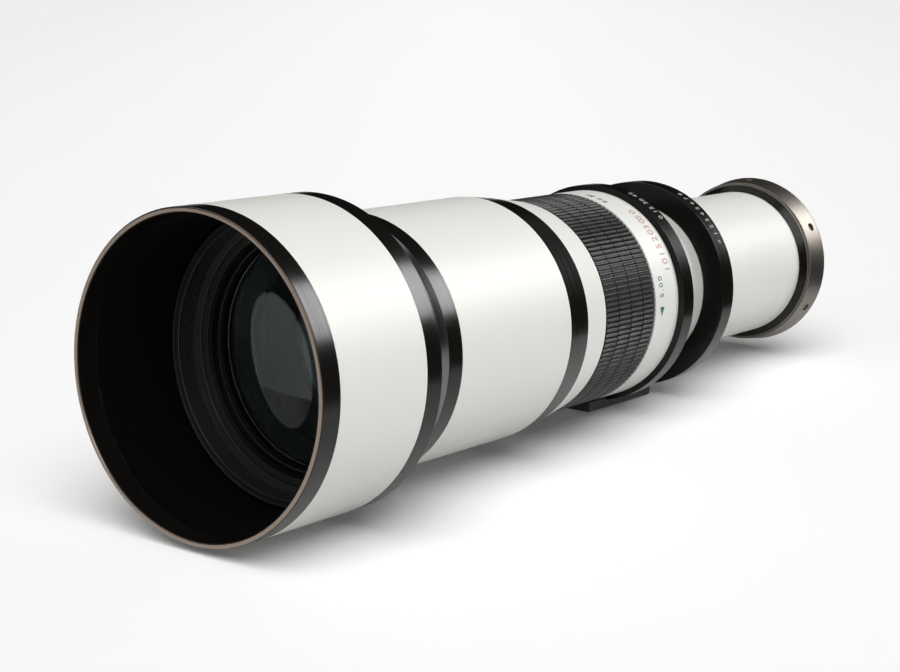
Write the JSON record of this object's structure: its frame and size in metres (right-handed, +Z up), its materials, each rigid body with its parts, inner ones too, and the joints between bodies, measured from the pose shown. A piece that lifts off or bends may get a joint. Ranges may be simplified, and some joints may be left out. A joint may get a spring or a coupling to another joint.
{
  "type": "telephoto zoom lens",
  "caption": "Long white push-pull telephoto zoom lens with deep hood, ribbed focus ring, tripod collar with foot, and a metal camera adapter.",
  "frame": {"origin": "on the optical axis, in the plane of the rear flange face that meets the camera", "axes": "+X along the optical axis towards the camera, front of the lens at -X; +Z up, tripod foot at -Z"},
  "size_m": [0.4251, 0.1268, 0.1258],
  "materials": {
    "white_paint": "satin white enamel with a fine pearl texture",
    "black_anodised": "satin black anodised, turned",
    "matt_black": "matt black",
    "flock": "black flock",
    "grip_rubber": "black ribbed rubber",
    "coated_glass": "polished, anti-reflection coated",
    "plain_aluminium": "turned",
    "foot_paint": "black powder coat",
    "steel": "bright steel",
    "nickel": "bright nickel plate on brass"
  },
  "bodies": {
    "barrel": {"front_cell": "matt_black", "front_retaining_ring": "matt_black", "front_element": "coated_glass", "element_spacer": "matt_black", "second_element": "coated_glass", "front_band": "black_anodised", "main_barrel": "white_paint", "light_baffle": "matt_black", "taper_band": "black_anodised", "name_band": "white_paint", "inner_barrel": "matt_black", "rear_plate": "black_anodised", "mid_tube": "white_paint", "lock_collet": "plain_aluminium"},
    "hood": {"hood_front_rim": "black_anodised", "hood_shell": "white_paint", "hood_rear_rim": "black_anodised", "hood_liner": "flock", "hood_mount_ring": "matt_black"},
    "focus_ring": {"focus_sleeve": "plain_aluminium", "focus_grip": "grip_rubber", "scale_ring": "white_paint"},
    "focus_group": {"focus_carriage": "matt_black", "focus_pins": "steel", "focus_front_element": "coated_glass", "focus_retaining_ring": "matt_black", "focus_rear_element": "coated_glass"},
    "tripod_collar": {"collar_ring": "black_anodised", "tripod_foot": "foot_paint", "foot_screws": "steel"},
    "clamp_knob": {"collar_knob": "black_anodised"},
    "zoom_lock": {"zoom_lock_ring": "black_anodised"},
    "zoom_tube": {"rear_tube": "white_paint", "tube_keys": "steel", "tube_end_ring": "black_anodised", "rear_cell": "matt_black", "rear_element": "coated_glass", "adapter_ring": "nickel", "adapter_flange": "nickel", "adapter_screws": "steel"},
    "zoom_group": {"zoom_carriage": "matt_black", "zoom_front_element": "coated_glass", "zoom_rear_element": "coated_glass"}
  },
  "joints": [
    {"name": "hood_off", "type": "slide", "parent": "barrel", "child": "hood", "axis": [-1, 0, 0], "range_m": [0, 0.08]},
    {"name": "focus_turn", "type": "hinge", "parent": "barrel", "child": "focus_ring", "pos_m": [-0.19775, 0, 0], "axis": [1, 0, 0], "range_deg": [-90, 90]},
    {"name": "focus_travel", "type": "slide", "parent": "barrel", "child": "focus_group", "axis": [1, 0, 0], "range_m": [-0.00601, 0.00601]},
    {"name": "zoom_slide", "type": "slide", "parent": "barrel", "child": "zoom_tube", "axis": [1, 0, 0], "range_m": [-0.07, 0]},
    {"name": "zoom_group_travel", "type": "slide", "parent": "barrel", "child": "zoom_group", "axis": [1, 0, 0], "range_m": [-0.03151, 0]},
    {"name": "zoom_lock_turn", "type": "hinge", "parent": "barrel", "child": "zoom_lock", "pos_m": [-0.1195, 0, 0], "axis": [1, 0, 0], "range_deg": [0, 60]},
    {"name": "collar_turn", "type": "hinge", "parent": "barrel", "child": "tripod_collar", "pos_m": [-0.15255, 0, 0], "axis": [1, 0, 0], "continuous": true},
    {"name": "knob_turn", "type": "hinge", "parent": "tripod_collar", "child": "clamp_knob", "pos_m": [-0.15255, 0.0509, 0], "axis": [0, 1, 0], "range_deg": [0, 360]}
  ],
  "couplings": [
    {"joint": "focus_travel", "follows": "focus_turn", "m_per_rad": -0.0038197},
    {"joint": "zoom_group_travel", "follows": "zoom_slide", "ratio": 0.45}
  ]
}
